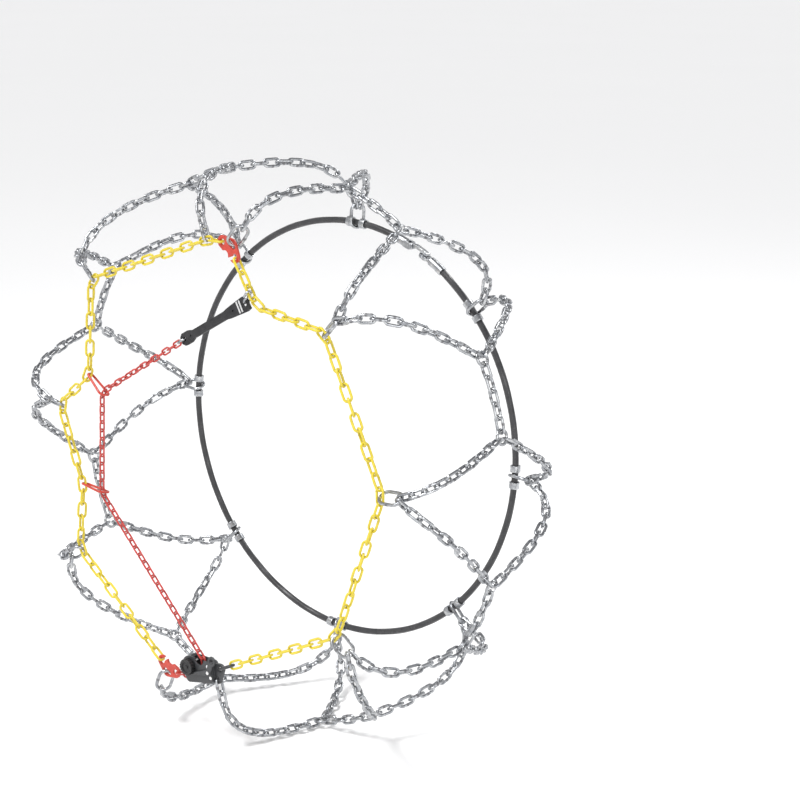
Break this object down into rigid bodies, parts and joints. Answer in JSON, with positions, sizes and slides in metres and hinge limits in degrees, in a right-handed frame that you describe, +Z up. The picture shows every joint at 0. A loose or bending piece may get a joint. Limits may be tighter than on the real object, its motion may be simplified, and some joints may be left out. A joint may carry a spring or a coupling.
{
  "type": "tyre snow chain",
  "caption": "Diamond-net snow chain shaped as it sits on a car tyre, with side chain, tension chain, ratchet lock, rubber strap and closed inner cable.",
  "frame": {"origin": "centre of the wheel, in the middle of the tyre's width", "axes": "+Y along the wheel's axle from the outer face to the inner face, +Z up, +X to the right as the outer face is seen"},
  "size_m": [0.6867, 0.2722, 0.686],
  "materials": {
    "zinc": "zinc plated, satin, with grey wear at the contact points",
    "yellow_paint": "bright yellow paint, worn at the link ends",
    "red_paint": "red paint, worn at the link ends",
    "lock_grey": "dark grey powder coat",
    "black_plastic": "black moulded plastic",
    "black_rubber": "matt black rubber",
    "cable_coat": "dark plastic coat on a steel cable",
    "bright_steel": "bright steel"
  },
  "bodies": {
    "net": {"cable_collars": "zinc", "cable_eye_end": "zinc", "cable_fork_end": "zinc", "cable_hook_pin": "zinc", "closure_hook": "red_paint", "inner_cable": "cable_coat", "inner_joining_links": "zinc", "inner_legs_1": "zinc", "inner_legs_2": "zinc", "inner_legs_3": "zinc", "inner_legs_4": "zinc", "inner_legs_5": "zinc", "inner_legs_6": "zinc", "inner_legs_7": "zinc", "inner_legs_8": "zinc", "left_hook": "red_paint", "lock_body": "lock_grey", "lock_cover": "lock_grey", "lock_rivets": "bright_steel", "outer_joining_links": "zinc", "outer_legs_1": "zinc", "outer_legs_2": "zinc", "outer_legs_3": "zinc", "outer_legs_4": "zinc", "outer_legs_5": "zinc", "outer_legs_6": "zinc", "outer_legs_7": "zinc", "outer_legs_8": "zinc", "side_chain_1": "yellow_paint", "side_chain_2": "yellow_paint", "side_chain_3": "yellow_paint", "side_chain_4": "yellow_paint", "side_chain_5": "yellow_paint", "side_chain_6": "yellow_paint", "side_chain_7": "yellow_paint", "side_chain_8": "yellow_paint", "strap": "black_rubber", "strap_bars": "bright_steel", "tension_chain_1": "red_paint", "tension_chain_2": "red_paint", "tension_chain_3": "red_paint", "tension_chain_lock": "red_paint", "tread_connector_1": "zinc", "tread_connector_2": "zinc", "tread_connector_3": "zinc", "tread_connector_4": "zinc", "tread_connector_5": "zinc", "tread_connector_6": "zinc", "tread_connector_7": "zinc", "tread_connector_8": "zinc", "tread_rings": "zinc"},
    "roller": {"lock_roller": "black_plastic", "lock_knob": "black_plastic"},
    "pawl": {"lock_pawl": "lock_grey"},
    "lock_link": {"lock_link": "lock_grey"},
    "guide_lower": {"guide_ring_lower": "red_paint"},
    "guide_upper": {"guide_ring_upper": "red_paint"},
    "strap_hook": {"strap_hook": "zinc"},
    "strap_ring": {"strap_ring": "zinc"},
    "cable_hook": {"cable_hook": "zinc"}
  },
  "joints": [
    {"name": "roller_turn", "type": "hinge", "parent": "net", "child": "roller", "pos_m": [-0.02928, -0.1243, -0.24893], "axis": [0, -1, 0], "continuous": true},
    {"name": "pawl_release", "type": "hinge", "parent": "net", "child": "pawl", "pos_m": [0.00392, -0.1243, -0.2494], "axis": [0, -1, 0], "range_deg": [0, 14], "stiffness_Nm_per_rad": 0.05, "springref_deg": -11.46},
    {"name": "lock_link_swing", "type": "hinge", "parent": "net", "child": "lock_link", "pos_m": [0.01615, -0.1243, -0.24417], "axis": [0, -1, 0], "range_deg": [-1, 1]},
    {"name": "lower_guide_swing", "type": "hinge", "parent": "net", "child": "guide_lower", "pos_m": [-0.21355, -0.12205, -0.05744], "axis": [0.129, 0, -0.9916], "range_deg": [-2, 1]},
    {"name": "upper_guide_swing", "type": "hinge", "parent": "net", "child": "guide_upper", "pos_m": [-0.19671, -0.1224, 0.08152], "axis": [-0.4513, 0, -0.8924], "range_deg": [-2, 1]},
    {"name": "strap_hook_swing", "type": "hinge", "parent": "net", "child": "strap_hook", "pos_m": [0.06669, -0.1243, 0.20025], "axis": [0, -1, 0], "range_deg": [-2, 1]},
    {"name": "strap_ring_swing", "type": "hinge", "parent": "net", "child": "strap_ring", "pos_m": [-0.02962, -0.1243, 0.14815], "axis": [0, -1, 0], "range_deg": [-2, 2]},
    {"name": "cable_hook_open", "type": "hinge", "parent": "net", "child": "cable_hook", "pos_m": [0.10437, 0.1243, 0.24072], "axis": [0, -1, 0], "range_deg": [0, 70]}
  ]
}
